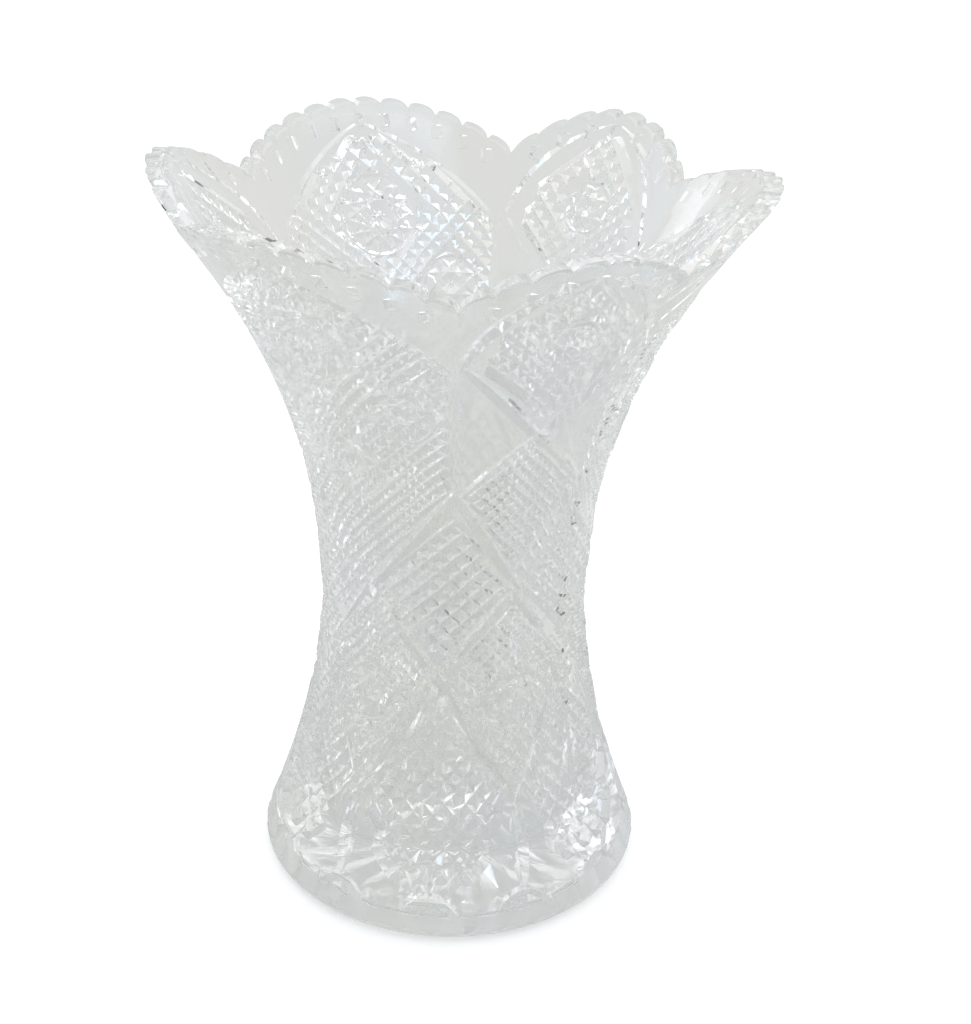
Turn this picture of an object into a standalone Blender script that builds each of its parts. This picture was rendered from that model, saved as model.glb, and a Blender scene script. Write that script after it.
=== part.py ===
"""Cut crystal vase: a waisted vessel of thick clear glass with a scalloped, toothed rim.

The real vase is one piece of glass. Here it is four solids, one for each region that a
glass cutter names: the foot, the waist, the flare and the rim. They meet face to face at
three level seams, with a hairline gap between them. Lengths are in metres, the vase
stands on Z = 0, and +Z is its axis.
"""
import math

import bmesh
import bpy
from mathutils import Matrix, Vector

# Overall sizes
HEIGHT = 0.300
RIM_RADIUS = 0.1195          # at the tip of a scallop
WAIST_RADIUS = 0.0554
WAIST_HEIGHT = 0.121
FOOT_RADIUS = 0.084          # where the foot's flare would meet the table, before rounding
FLARE_POWER = 2.25           # how late the flare opens above the waist
SPREAD_POWER = 1.72          # how late the foot spreads below it

# The hollow
RIM_WALL = 0.0085            # all three walls are measured level
WAIST_WALL = 0.0090
WELL_RADIUS = 0.0560         # of the hollow where it meets the rounding of its floor
WELL_ROUNDING = 0.0100       # between the wall of the hollow and its floor
FLOOR_THICKNESS = 0.0200

# Where the four regions meet
FOOT_SEAM = 0.0302
FLARE_SEAM = 0.1510
RIM_BAND = 0.0420            # from the seam up to the tip of a scallop
SEAM_GAP = 0.0003

# Foot
FOOT_EDGE_ROUNDING = 0.0060
REST_RING_WIDTH = 0.0140     # the flat ring that the vase stands on
STAR_RECESS = 0.0012         # how far the star's ground lies above the ring
STAR_RAYS = 24
STAR_CUT_DEPTH = 0.0030

# Rim: three wide and three narrow scallops, and a whole number of teeth on each
SCALLOP_PAIRS = 3
WIDE_TEETH = 12
NARROW_TEETH = 8
SCALLOP_DEPTH = 0.0185       # from a tip down to the V between two scallops
SCALLOP_POWER = 1.85         # 2 is a parabola
TOOTH_DEPTH = 0.0022         # of the nick between two teeth, at the inner edge
TOOTH_RUN_OUT = 0.0024       # how much lower the nick leaves the outer edge
RIM_EDGE_ROUNDING = 0.0012
FRONT_V_ANGLE = math.radians(-90)    # one V between two scallops faces -Y

# Mitre cuts: long V grooves that cross on the body
LEFT_MITRE_DEPTH = 0.0032
RIGHT_MITRE_DEPTH = 0.0027
MITRE_SWEEP = math.radians(64)       # how far round a groove runs between its ends
MITRE_MARGIN = 0.0030                # between a groove's ends and the seams
MITRE_SPREAD = math.radians(5)       # between a V and the upper end of each of its two grooves

# Stars: leaf-shaped cuts that cross at one point, made by the edge of a grinding wheel
STAR_HEIGHT = 0.226
STAR_WHEEL_RADIUS = 0.050
STAR_WHEEL_HALF_ANGLE = math.radians(50)
STAR_CUTS = 4
STAR_DEPTH = 0.0024

# How finely round shapes are drawn
ROUND_STEPS = 60
STEPS_PER_TOOTH = 4
OUTER_POINTS = 6
INNER_POINTS = 4
MITRE_POINTS = 12
WHEEL_STEPS = 32
FACET_TURN = math.radians(1.7)       # keeps the drawn facets' edges off the cuts' crossings

GLASS = (0.86, 0.88, 0.88)

TEETH = SCALLOP_PAIRS * (WIDE_TEETH + NARROW_TEETH)
TOOTH_ANGLE = math.tau / TEETH
PAIR_ANGLE = math.tau / SCALLOP_PAIRS
WIDE_ANGLE = WIDE_TEETH * TOOTH_ANGLE
RIM_SEAM = HEIGHT - RIM_BAND


def outer_radius(z):
    """The outside of the vase: one power curve up from the waist and one down from it."""
    if z >= WAIST_HEIGHT:
        share = (z - WAIST_HEIGHT) / (HEIGHT - WAIST_HEIGHT)
        return WAIST_RADIUS + (RIM_RADIUS - WAIST_RADIUS) * share ** FLARE_POWER
    share = (WAIST_HEIGHT - z) / WAIST_HEIGHT
    return WAIST_RADIUS + (FOOT_RADIUS - WAIST_RADIUS) * share ** SPREAD_POWER


def inner_radius(z):
    """The hollow: it follows the flare above the waist and widens to the well below it."""
    waist = WAIST_RADIUS - WAIST_WALL
    if z >= WAIST_HEIGHT:
        share = (z - WAIST_HEIGHT) / (HEIGHT - WAIST_HEIGHT)
        return waist + (RIM_RADIUS - RIM_WALL - waist) * share ** FLARE_POWER
    share = (WAIST_HEIGHT - z) / (WAIST_HEIGHT - FOOT_SEAM)
    return waist + (WELL_RADIUS - waist) * share ** SPREAD_POWER


def spaced(low, high, count):
    """count values from low to high, both ends included."""
    return [low + (high - low) * i / (count - 1) for i in range(count)]


def arc(centre, radius, start, end, count):
    """Points (r, z) on a circle between two angles in degrees."""
    turns = [math.radians(a) for a in spaced(start, end, count)]
    return [(centre[0] + radius * math.cos(a), centre[1] + radius * math.sin(a)) for a in turns]


def glass_material(name, tint):
    material = bpy.data.materials.new(name)
    material.use_nodes = True
    shader = material.node_tree.nodes["Principled BSDF"]
    shader.inputs["Base Color"].default_value = (*tint, 1)
    shader.inputs["Roughness"].default_value = 0.02
    shader.inputs["Metallic"].default_value = 0.0
    shader.inputs["IOR"].default_value = 1.54
    shader.inputs["Transmission Weight"].default_value = 1.0
    return material


def turned(name, profile, steps, collection, first_angle=0):
    """A profile of (r, z) points, from the top down its outer side, turned about Z."""
    mesh = bpy.data.meshes.new(name)
    mesh.from_pydata([(r, 0, z) for r, z in profile], [(i, i + 1) for i in range(len(profile) - 1)], [])
    obj = bpy.data.objects.new(name, mesh)
    collection.objects.link(obj)
    screw = obj.modifiers.new("turn", "SCREW")
    screw.steps = steps
    screw.render_steps = steps
    screw.use_merge_vertices = True
    screw.merge_threshold = 0.00001
    screw.use_smooth_shade = True
    obj.rotation_euler.z = first_angle
    return obj


def applied(obj):
    """Replaces the object's mesh with the one its modifiers make."""
    evaluated = obj.evaluated_get(bpy.context.evaluated_depsgraph_get())
    mesh = bpy.data.meshes.new_from_object(evaluated)
    obj.modifiers.clear()
    obj.data = mesh
    return obj


def finish(obj, material):
    """Gives an applied mesh its material, smooth faces and sharp creases."""
    obj.data.materials.clear()
    obj.data.materials.append(material)
    obj.data.shade_smooth()
    obj.data.set_sharp_from_angle(angle=math.radians(24))


def hide_cutter(obj):
    obj.hide_render = True
    obj.display_type = "WIRE"


def cut(obj, cutter_collection):
    boolean = obj.modifiers.new("cuts", "BOOLEAN")
    boolean.operation = "DIFFERENCE"
    boolean.solver = "EXACT"
    boolean.operand_type = "COLLECTION"
    boolean.collection = cutter_collection
    boolean.use_self = True


def new_collection(name, parent):
    collection = bpy.data.collections.new(name)
    parent.children.link(collection)
    return collection


def wheel(name, point, outward, along, radius, depth, collection):
    """A grinding wheel with a V edge, sunk by depth at point, with its edge running along."""
    mesh = bpy.data.meshes.new(name)
    shape = bmesh.new()
    half_width = radius / math.tan(STAR_WHEEL_HALF_ANGLE)
    for side in (1, -1):
        place = Matrix.Translation((0, 0, side * half_width / 2))
        if side < 0:
            place = place @ Matrix.Rotation(math.pi, 4, "X")
        bmesh.ops.create_cone(
            shape, cap_ends=False, segments=WHEEL_STEPS, radius1=radius, radius2=0,
            depth=half_width, matrix=place)
    bmesh.ops.remove_doubles(shape, verts=shape.verts, dist=0.00001)
    bmesh.ops.recalc_face_normals(shape, faces=shape.faces)
    shape.to_mesh(mesh)
    shape.free()
    axle = outward.cross(along).normalized()
    frame = Matrix((along, axle.cross(along), axle)).transposed().to_4x4()
    obj = bpy.data.objects.new(name, mesh)
    obj.matrix_world = Matrix.Translation(point + outward * (radius - depth)) @ frame
    collection.objects.link(obj)
    hide_cutter(obj)


def on_wall(angle, z):
    """A point on the outside of the vase, and the directions outward and up the wall."""
    step = 0.0005
    slope = (outer_radius(z + step) - outer_radius(z - step)) / (2 * step)
    radial = Vector((math.cos(angle), math.sin(angle), 0))
    point = radial * outer_radius(z) + Vector((0, 0, z))
    outward = (radial - Vector((0, 0, slope))).normalized()
    up = (Vector((0, 0, 1)) + radial * slope).normalized()
    return point, outward, up


def mitre_cutter(name, start_angle, sweep, depth, collection):
    """A square bar with a corner facing in, laid along a slanting line on the wall."""
    low = FOOT_SEAM + MITRE_MARGIN
    high = RIM_SEAM - MITRE_MARGIN
    curve = bpy.data.curves.new(name, "CURVE")
    curve.dimensions = "3D"
    curve.bevel_depth = depth
    curve.bevel_resolution = 0
    curve.use_fill_caps = True
    curve.twist_mode = "Z_UP"
    spline = curve.splines.new("POLY")
    spline.points.add(MITRE_POINTS - 1)
    for i, share in enumerate(spaced(0, 1, MITRE_POINTS)):
        z = high + (low - high) * share
        point, _, _ = on_wall(start_angle + sweep * share, z)
        spline.points[i].co = (*point, 1)
        spline.points[i].radius = 0.08 + 0.92 * math.sin(math.pi * share) ** 0.6
    guide = bpy.data.objects.new(name + "_guide", curve)
    collection.objects.link(guide)
    mesh = bpy.data.meshes.new_from_object(guide.evaluated_get(bpy.context.evaluated_depsgraph_get()))
    shape = bmesh.new()
    shape.from_mesh(mesh)
    bmesh.ops.remove_doubles(shape, verts=shape.verts, dist=0.00001)
    bmesh.ops.triangulate(shape, faces=shape.faces)
    bmesh.ops.recalc_face_normals(shape, faces=shape.faces)
    shape.to_mesh(mesh)
    shape.free()
    bpy.data.objects.remove(guide)
    obj = bpy.data.objects.new(name, mesh)
    collection.objects.link(obj)
    hide_cutter(obj)


def v_angles():
    """The angles of the Vs between scallops, each with the side on which its wide scallop lies."""
    for pair in range(SCALLOP_PAIRS):
        yield FRONT_V_ANGLE + pair * PAIR_ANGLE
        yield FRONT_V_ANGLE + pair * PAIR_ANGLE - WIDE_ANGLE


def wide_centres():
    return [FRONT_V_ANGLE - WIDE_ANGLE / 2 + pair * PAIR_ANGLE for pair in range(SCALLOP_PAIRS)]


def edge_drop(angle):
    """How far the rim's edge lies below the tips: the scallop's curve, without the teeth."""
    turn = (angle - FRONT_V_ANGLE) % PAIR_ANGLE
    narrow = PAIR_ANGLE - WIDE_ANGLE
    if turn <= narrow:
        from_centre = abs(turn - narrow / 2) / (narrow / 2)
    else:
        from_centre = abs(turn - narrow - WIDE_ANGLE / 2) / (WIDE_ANGLE / 2)
    return SCALLOP_DEPTH * min(from_centre, 1) ** SCALLOP_POWER


def make_foot(collection, cutters, material):
    """The solid base: the foot's flare, a rounded floor of the hollow, and the star beneath."""
    top = FOOT_SEAM - SEAM_GAP / 2
    edge = FOOT_EDGE_ROUNDING
    edge_radius = outer_radius(edge) - edge
    ring_inside = edge_radius - REST_RING_WIDTH
    well_floor = (WELL_RADIUS - WELL_ROUNDING, FLOOR_THICKNESS + WELL_ROUNDING)
    profile = [(0, FLOOR_THICKNESS)]
    profile += arc(well_floor, WELL_ROUNDING, -90, 0, 6)
    if top > well_floor[1]:
        profile += [(WELL_RADIUS, top)]
    profile += [(outer_radius(z), z) for z in spaced(top, edge, 5)[:-1]]
    profile += arc((edge_radius, edge), edge, 0, -90, 5)
    profile += [(ring_inside, 0), (ring_inside - STAR_RECESS, STAR_RECESS), (0, STAR_RECESS)]
    foot = turned("foot", profile, ROUND_STEPS, collection, FACET_TURN)
    star = new_collection("foot_star_cutters", cutters)
    length = 2 * (ring_inside - STAR_RECESS - 0.002)
    for i in range(STAR_RAYS // 2):
        mesh = bpy.data.meshes.new(f"foot_ray_{i}")
        shape = bmesh.new()
        bmesh.ops.create_cone(
            shape, cap_ends=True, segments=4, radius1=STAR_CUT_DEPTH, radius2=STAR_CUT_DEPTH,
            depth=length, matrix=Matrix.Rotation(math.pi / 2, 4, "Y"))
        shape.to_mesh(mesh)
        shape.free()
        ray = bpy.data.objects.new(mesh.name, mesh)
        ray.rotation_euler.z = i * math.tau / STAR_RAYS
        ray.location.z = STAR_RECESS
        star.objects.link(ray)
        hide_cutter(ray)
    bpy.context.view_layer.update()
    cut(foot, star)
    applied(foot)
    finish(foot, material)


def wall_cutters(cutters):
    """The cuts that cross the waist and the flare: mitre grooves, and a star on each wide panel."""
    grooves = new_collection("wall_cutters", cutters)
    for i, angle in enumerate(v_angles()):
        mitre_cutter(f"mitre_left_{i}", angle + MITRE_SPREAD, MITRE_SWEEP, LEFT_MITRE_DEPTH, grooves)
        mitre_cutter(f"mitre_right_{i}", angle - MITRE_SPREAD, -MITRE_SWEEP, RIGHT_MITRE_DEPTH, grooves)
    for i, angle in enumerate(wide_centres()):
        point, outward, up = on_wall(angle, STAR_HEIGHT)
        for j in range(STAR_CUTS):
            along = Matrix.Rotation(j * math.pi / STAR_CUTS, 3, outward) @ up
            wheel(f"star_wheel_{i}_{j}", point, outward, along, STAR_WHEEL_RADIUS, STAR_DEPTH, grooves)
    return grooves


def make_wall(name, low_seam, high_seam, grooves, collection, material):
    """One length of the wall between two seams, open at both ends, with its share of the cuts."""
    low = low_seam + SEAM_GAP / 2
    high = high_seam - SEAM_GAP / 2
    outside = [(outer_radius(z), z) for z in spaced(high, low, OUTER_POINTS)]
    inside = [(inner_radius(z), z) for z in spaced(low, high, INNER_POINTS)]
    wall = turned(name, outside + inside + outside[:1], ROUND_STEPS, collection, FACET_TURN)
    cut(wall, grooves)
    applied(wall)
    finish(wall, material)


def make_rim(collection, material):
    """The top of the flare. Its edge is drawn down along the flare into scallops and teeth."""
    low = RIM_SEAM + SEAM_GAP / 2
    bevel = RIM_EDGE_ROUNDING
    outside = [(outer_radius(z), z) for z in spaced(HEIGHT - bevel, low, 3)]
    inside = [(inner_radius(z), z) for z in spaced(low, HEIGHT - bevel, 2)]
    lip = [(inner_radius(HEIGHT) + bevel, HEIGHT), (outer_radius(HEIGHT) - bevel, HEIGHT)]
    profile = lip[1:] + outside + inside + lip
    rim = applied(turned("rim", profile, TEETH * STEPS_PER_TOOTH, collection))
    for vertex in rim.data.vertices:
        x, y, z = vertex.co
        angle = math.atan2(y, x)
        radius = math.hypot(x, y)
        outer = radius > (outer_radius(z) + inner_radius(z)) / 2
        tooth = ((angle - FRONT_V_ANGLE) / TOOTH_ANGLE) % 1
        nick = max(0, 1 - min(tooth, 1 - tooth) * STEPS_PER_TOOTH) + 0.12 * abs(2 * tooth - 1)
        share = (z - low) / (HEIGHT - low)
        depth = TOOTH_DEPTH + (TOOTH_RUN_OUT if outer else 0)
        drop = share * edge_drop(angle) + nick * depth * max(0, 2 * share - 1)
        lower = z - drop
        wall = outer_radius if outer else inner_radius
        slide = (wall(lower) - wall(z)) / radius
        vertex.co = (x * (1 + slide), y * (1 + slide), lower)
    finish(rim, material)


def main():
    for obj in list(bpy.data.objects):
        bpy.data.objects.remove(obj)
    vase = new_collection("cut_crystal_vase", bpy.context.scene.collection)
    cutters = new_collection("cutters", bpy.context.scene.collection)
    make_foot(vase, cutters, glass_material("foot_glass", GLASS))
    grooves = wall_cutters(cutters)
    bpy.context.view_layer.update()
    make_wall("waist", FOOT_SEAM, FLARE_SEAM, grooves, vase, glass_material("waist_glass", GLASS))
    make_wall("flare", FLARE_SEAM, RIM_SEAM, grooves, vase, glass_material("flare_glass", GLASS))
    make_rim(vase, glass_material("rim_glass", GLASS))


main()
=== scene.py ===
# %% [markdown]
# # A cut crystal vase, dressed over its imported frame
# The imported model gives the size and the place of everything. This script lays one finished
# skin of glass over it, with every cut that a glass cutter's wheels leave, and then lights it.
# The real vase is one piece of glass, so the skin is one piece as well.

# %% Load the frame
import math
import time

import bpy
import numpy as np
from mathutils import Matrix, Vector


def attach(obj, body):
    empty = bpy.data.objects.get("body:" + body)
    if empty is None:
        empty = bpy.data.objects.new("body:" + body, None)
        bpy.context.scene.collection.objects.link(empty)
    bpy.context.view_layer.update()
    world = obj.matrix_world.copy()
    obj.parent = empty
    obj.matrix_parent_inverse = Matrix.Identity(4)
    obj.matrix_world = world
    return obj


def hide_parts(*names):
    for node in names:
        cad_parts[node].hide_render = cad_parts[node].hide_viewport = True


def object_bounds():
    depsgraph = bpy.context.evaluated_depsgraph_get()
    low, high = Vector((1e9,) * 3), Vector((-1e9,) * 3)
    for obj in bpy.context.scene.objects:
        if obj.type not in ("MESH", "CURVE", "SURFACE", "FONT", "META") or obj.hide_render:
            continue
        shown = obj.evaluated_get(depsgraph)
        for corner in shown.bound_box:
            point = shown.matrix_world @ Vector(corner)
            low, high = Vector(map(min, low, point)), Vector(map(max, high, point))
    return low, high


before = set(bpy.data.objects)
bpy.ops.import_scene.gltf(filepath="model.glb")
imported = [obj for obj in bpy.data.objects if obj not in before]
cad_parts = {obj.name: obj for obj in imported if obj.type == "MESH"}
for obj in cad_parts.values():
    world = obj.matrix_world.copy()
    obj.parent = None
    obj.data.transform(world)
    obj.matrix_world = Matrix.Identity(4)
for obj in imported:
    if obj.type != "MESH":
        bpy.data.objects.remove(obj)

cad_low, cad_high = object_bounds()
print("the frame stands", round(1000 * (cad_high - cad_low).z, 1), "mm high")

# %% [markdown]
# ## The outline of the vase
# A cut vase starts as a blown blank: a heavy tube with a flared mouth and a spread foot. It
# could be a Spin of a drawn profile, but the cuts need to know where the wall is at any point,
# so the outline is a formula: one power curve up from the waist and another down from it. All
# heights follow from the frame's own height, so the skin grows with the frame.

# %% Sizes of the blank, in metres
MODEL_HEIGHT = 0.300
TIP_HEIGHT = 0.29982
HEIGHT = MODEL_HEIGHT * cad_high.z / TIP_HEIGHT
WAIST_HEIGHT = 0.4033 * HEIGHT
WAIST_RADIUS = 0.0554
RIM_RADIUS = 0.1195
FOOT_RADIUS = 0.0840
FLARE_POWER = 2.25
SPREAD_POWER = 1.72
RIM_WALL = 0.0085
WAIST_WALL = 0.0090
WELL_RADIUS = 0.0560
WELL_ROUNDING = 0.0100
FLOOR_THICKNESS = 0.0200
FOOT_EDGE_ROUNDING = 0.0060
REST_RING_WIDTH = 0.0140
STAR_RECESS = 0.0012
print("waist", round(2000 * WAIST_RADIUS), "mm across, at", round(1000 * WAIST_HEIGHT), "mm")


# %% The outside and the hollow as functions of height
def outer_radius(z):
    """Waist radius plus, above the waist, the flare times the share of the height to a power, and
    below it the spread of the foot times the share of the depth to another power."""
    up = np.clip((z - WAIST_HEIGHT) / (HEIGHT - WAIST_HEIGHT), 0, None)
    down = np.clip((WAIST_HEIGHT - z) / WAIST_HEIGHT, 0, None)
    flare = (RIM_RADIUS - WAIST_RADIUS) * up ** FLARE_POWER
    spread = (FOOT_RADIUS - WAIST_RADIUS) * down ** SPREAD_POWER
    return WAIST_RADIUS + flare + spread


def inner_radius(z):
    """The hollow: the same flare on a thinner waist above, and a widening to the well below."""
    waist = WAIST_RADIUS - WAIST_WALL
    well_depth = WAIST_HEIGHT - FLOOR_THICKNESS - WELL_ROUNDING
    up = np.clip((z - WAIST_HEIGHT) / (HEIGHT - WAIST_HEIGHT), 0, None)
    down = np.clip((WAIST_HEIGHT - z) / well_depth, 0, 1)
    flare = (RIM_RADIUS - RIM_WALL - waist) * up ** FLARE_POWER
    return waist + flare + (WELL_RADIUS - waist) * down ** SPREAD_POWER


print("wall at the rim", round(1000 * float(outer_radius(HEIGHT) - inner_radius(HEIGHT)), 1), "mm")

# %% Measure along the wall
OUTLINE_POINTS = 2001
heights = np.linspace(0, HEIGHT, OUTLINE_POINTS)
radii = outer_radius(heights)
steps = np.hypot(np.diff(heights), np.diff(radii))
WALL_LENGTH = np.concatenate([[0], np.cumsum(steps)])


def height_at(length):
    """Height of the point that lies this far up the wall, measured along it."""
    return np.interp(length, WALL_LENGTH, heights)


def length_at(z):
    """How far up the wall, measured along it, this height lies."""
    return np.interp(z, heights, WALL_LENGTH)


print("the wall is", round(1000 * WALL_LENGTH[-1]), "mm long from table to rim")

# %% [markdown]
# ## The scalloped rim
# Wide and narrow scallops take turns, three of each, and meet in Vs. The edge is cut on a big
# grinding wheel. Here it is a drop below the full height that grows from the middle of each
# scallop to its ends, because a formula of the angle can move any ring of the wall.

# %% The drop of the edge
PAIRS = 3
PAIR_ANGLE = math.tau / PAIRS
WIDE_ANGLE = math.radians(72)
NARROW_ANGLE = PAIR_ANGLE - WIDE_ANGLE
FRONT_V = math.radians(-90)
SCALLOP_DEPTH = 0.0185
SCALLOP_POWER = 1.85


def edge_drop(angle):
    """The scallop's depth times the distance from its middle, as a share, to a power."""
    turn = (angle - FRONT_V) % PAIR_ANGLE
    narrow = np.abs(turn / NARROW_ANGLE - 0.5) * 2
    wide = np.abs((turn - NARROW_ANGLE) / WIDE_ANGLE - 0.5) * 2
    share = np.where(turn <= NARROW_ANGLE, narrow, wide)
    return SCALLOP_DEPTH * np.minimum(share, 1) ** SCALLOP_POWER


print("a V lies", round(1000 * float(edge_drop(FRONT_V)), 1), "mm under the tips")

# %% [markdown]
# ## Teeth along the edge
# Sixty small teeth run round the rim, each a rounded crown between two sharp nicks. They could
# be sixty Boolean cuts. A crown formula in the rings near the edge makes them with no Boolean,
# and leaves clean rows of faces.

# %% The nick between two teeth
TOOTH_ANGLE = math.radians(6)
TOOTH_DEPTH = 0.0022
TOOTH_RUN_OUT = 0.0005
CROWN_POWER = 2.2


def nick(angle):
    """0 on the crown of a tooth and 1 in the nick beside it: one minus the root of one minus
    the distance from the crown to a power, so round on top and sharp at the ends."""
    across = np.abs(((angle - FRONT_V) / TOOTH_ANGLE) % 1 - 0.5) * 2
    return 1 - np.sqrt(np.clip(1 - across ** CROWN_POWER, 0, 1))


print(round(math.tau / TOOTH_ANGLE), "teeth")

# %% [markdown]
# ## Rings joined into a closed skin
# The blank is a stack of rings: out under the foot, up the outside, over the lip and down the
# hollow. Only the rings near the teeth need many points. A fan of triangles between a coarse
# and a fine ring lets the count change with no gap. Every face is made a triangle, because a
# Boolean keeps flat faces flat, and a bent four-sided face would come out creased.


# %% Points of a ring, and flat faces
def ring_points(angle, radius, z):
    """Cylinder coordinates to points, for whole arrays."""
    radius, z, angle = np.broadcast_arrays(radius, z, angle)
    return np.stack([radius * np.cos(angle), radius * np.sin(angle), z], -1)


def triangles(faces):
    """Every four-sided face as two triangles."""
    return [t for f in faces for t in ((f[:3], [f[0], f[2], f[3]]) if len(f) == 4 else (f,))]


print("a face of four corners makes", len(triangles([[0, 1, 2, 3]])), "triangles")


# %% Faces between two rings
def fan(coarse, fine, coarse_first, fine_first):
    """For each step of the coarse ring, triangles from its two ends to the fine ring's points:
    the first half to the near end, the rest to the far end, and one between."""
    ratio = fine // coarse
    half = ratio // 2
    corner = np.arange(coarse)
    nodes = fine_first + (corner[:, None] * ratio + np.arange(ratio + 1)) % fine
    here = (coarse_first + corner)[:, None]
    beside = (coarse_first + (corner + 1) % coarse)[:, None]
    first, second = nodes[:, :half], nodes[:, half:-1]
    near = np.stack([np.broadcast_to(here, first.shape), nodes[:, 1:half + 1], first], -1)
    far = np.stack([np.broadcast_to(beside, second.shape), nodes[:, half + 1:], second], -1)
    peak = np.concatenate([here, beside, nodes[:, half:half + 1]], 1)
    return np.concatenate([near.reshape(-1, 3), far.reshape(-1, 3), peak])


def band(first, count_a, count_b):
    """Faces between a ring of count_a points, which starts at index first, and the next ring of
    count_b points: four-sided where the counts agree, and fans where they don't."""
    if count_a < count_b:
        return fan(count_a, count_b, first, first + count_a).tolist()
    if count_a > count_b:
        return fan(count_b, count_a, first + count_a, first)[:, ::-1].tolist()
    a = first + np.arange(count_a)
    b = first + (np.arange(count_a) + 1) % count_a
    return np.stack([a, b, b + count_a, a + count_a], -1).tolist()


def turned_skin(rings, name):
    """Rings of points, each an array of its own length, joined into one closed skin. The first
    and the last ring are a single point."""
    counts = [len(ring) for ring in rings]
    starts = np.concatenate([[0], np.cumsum(counts)])
    faces = []
    for start, count_a, count_b in zip(starts[1:-2], counts[1:-2], counts[2:-1]):
        faces += band(int(start), count_a, count_b)
    for pole, ring, turn in ((0, 1, 1), (-1, -2, -1)):
        column = int(np.cumsum(counts)[ring] - counts[ring]) + np.arange(counts[ring])
        centre = np.full(counts[ring], np.cumsum(counts)[pole] - 1)
        faces += np.stack([centre, np.roll(column, -turn), column], -1).tolist()
    mesh = bpy.data.meshes.new(name)
    mesh.from_pydata(np.concatenate(rings).tolist(), [], triangles(faces))
    return mesh


cone = [np.zeros((1, 3)), ring_points(np.arange(6), 1, 0.5), np.ones((1, 3))]
print("a spindle of six sides has", len(turned_skin(cone, "spindle").polygons), "faces")

# %% [markdown]
# ## The blank
# The wall is 8.5 to 9 mm thick, far more than a drinking glass, because the cuts go 3 mm deep.
# Each ring of the wall lies at a share of the height and sinks with the scallops in proportion,
# so the rings bend from level at the foot to the full scallop at the edge.

# %% One ring of the wall
PLAIN_COLUMNS = 120
TOOTH_COLUMNS = 480
TOOTH_ZONE = 0.96
LIP_ROUNDING = 0.0008
WALL_SPAN = HEIGHT - LIP_ROUNDING - FOOT_EDGE_ROUNDING


def around(count):
    """Angles of a ring's points, which start at the front V."""
    return FRONT_V + np.arange(count) * math.tau / count


def wall_ring(share, wall, nick_depth):
    """The ring at this share of the wall: its height less the drop of the edge times the share,
    and in the tooth zone less the nicks as well."""
    angle = around(TOOTH_COLUMNS if share > TOOTH_ZONE else PLAIN_COLUMNS)
    z = FOOT_EDGE_ROUNDING + WALL_SPAN * share - edge_drop(angle) * share
    if share > TOOTH_ZONE:
        z = z - nick_depth * nick(angle)
    return ring_points(angle, wall(z), z)


print("the middle ring has", len(wall_ring(0.5, outer_radius, 0)), "points")

# %% Under the foot and up the outside
OUTER_RINGS = 30
BEND_STEPS = 7
LAST_PLAIN_SHARE = 0.94
FIRST_TOOTHED_SHARE = 0.97
plain = around(PLAIN_COLUMNS)
edge_radius = float(outer_radius(FOOT_EDGE_ROUNDING)) - FOOT_EDGE_ROUNDING
ring_inside = edge_radius - REST_RING_WIDTH
turn = np.radians(np.linspace(-90, 0, BEND_STEPS))[:-1]
bend_radii = edge_radius + FOOT_EDGE_ROUNDING * np.cos(turn)
bend_heights = FOOT_EDGE_ROUNDING * (1 + np.sin(turn))
under = [(ring_inside / 2, STAR_RECESS), (ring_inside - STAR_RECESS, STAR_RECESS)]
under += [(ring_inside, 0), *zip(bend_radii, bend_heights)]
rings = [np.array([[0, 0, STAR_RECESS]])]
rings += [ring_points(plain, r, z) for r, z in under]
outside_shares = np.append(np.linspace(0, LAST_PLAIN_SHARE, OUTER_RINGS), [FIRST_TOOTHED_SHARE, 1])
rings += [wall_ring(s, outer_radius, TOOTH_DEPTH + TOOTH_RUN_OUT) for s in outside_shares]
print(len(rings), "rings up the outside")

# %% Over the lip
toothed = around(TOOTH_COLUMNS)
top = HEIGHT - edge_drop(toothed)
out_z = top - (TOOTH_DEPTH + TOOTH_RUN_OUT) * nick(toothed)
in_z = top - TOOTH_DEPTH * nick(toothed)
rings.append(ring_points(toothed, outer_radius(out_z) - LIP_ROUNDING, out_z))
rings.append(ring_points(toothed, inner_radius(in_z) + LIP_ROUNDING, in_z))
print("the tips stand", round(1000 * float(top.max()), 1), "mm high")

# %% Down the hollow to the middle of its floor
INNER_RINGS = 16
well_top = FLOOR_THICKNESS + WELL_ROUNDING
lowest_share = (well_top - FOOT_EDGE_ROUNDING) / WALL_SPAN
plain_shares = np.linspace(LAST_PLAIN_SHARE, lowest_share, INNER_RINGS)
inside_shares = np.append([1, FIRST_TOOTHED_SHARE], plain_shares)
rings += [wall_ring(s, inner_radius, TOOTH_DEPTH) for s in inside_shares]
turn = np.radians(np.linspace(0, -90, BEND_STEPS))[1:]
flat_radius = WELL_RADIUS - WELL_ROUNDING
bend_radii = flat_radius + WELL_ROUNDING * np.cos(turn)
bend_heights = well_top + WELL_ROUNDING * np.sin(turn)
rings += [ring_points(plain, r, z) for r, z in zip(bend_radii, bend_heights)]
rings.append(ring_points(plain, flat_radius / 2, FLOOR_THICKNESS))
rings.append(np.array([[0, 0, FLOOR_THICKNESS]]))
skin = bpy.data.objects.new("crystal_skin", turned_skin(rings, "crystal_skin"))
bpy.context.scene.collection.objects.link(skin)
print("the blank has", len(skin.data.polygons), "faces")

# %% [markdown]
# ## The cutter's wheels
# A mitre wheel has a V edge. Held against the wall and moved along a line it leaves a groove
# with two flat sides. Bump shading could only fake that, and cut glass lives on real facets,
# which bend the light. So each pass is a closed three-sided bar laid along the line with one
# edge sunk into the glass, and a Boolean takes all the bars of one pass away at once. Bars of
# one pass never touch each other, so a field of grooves takes an odd and an even pass.

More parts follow.
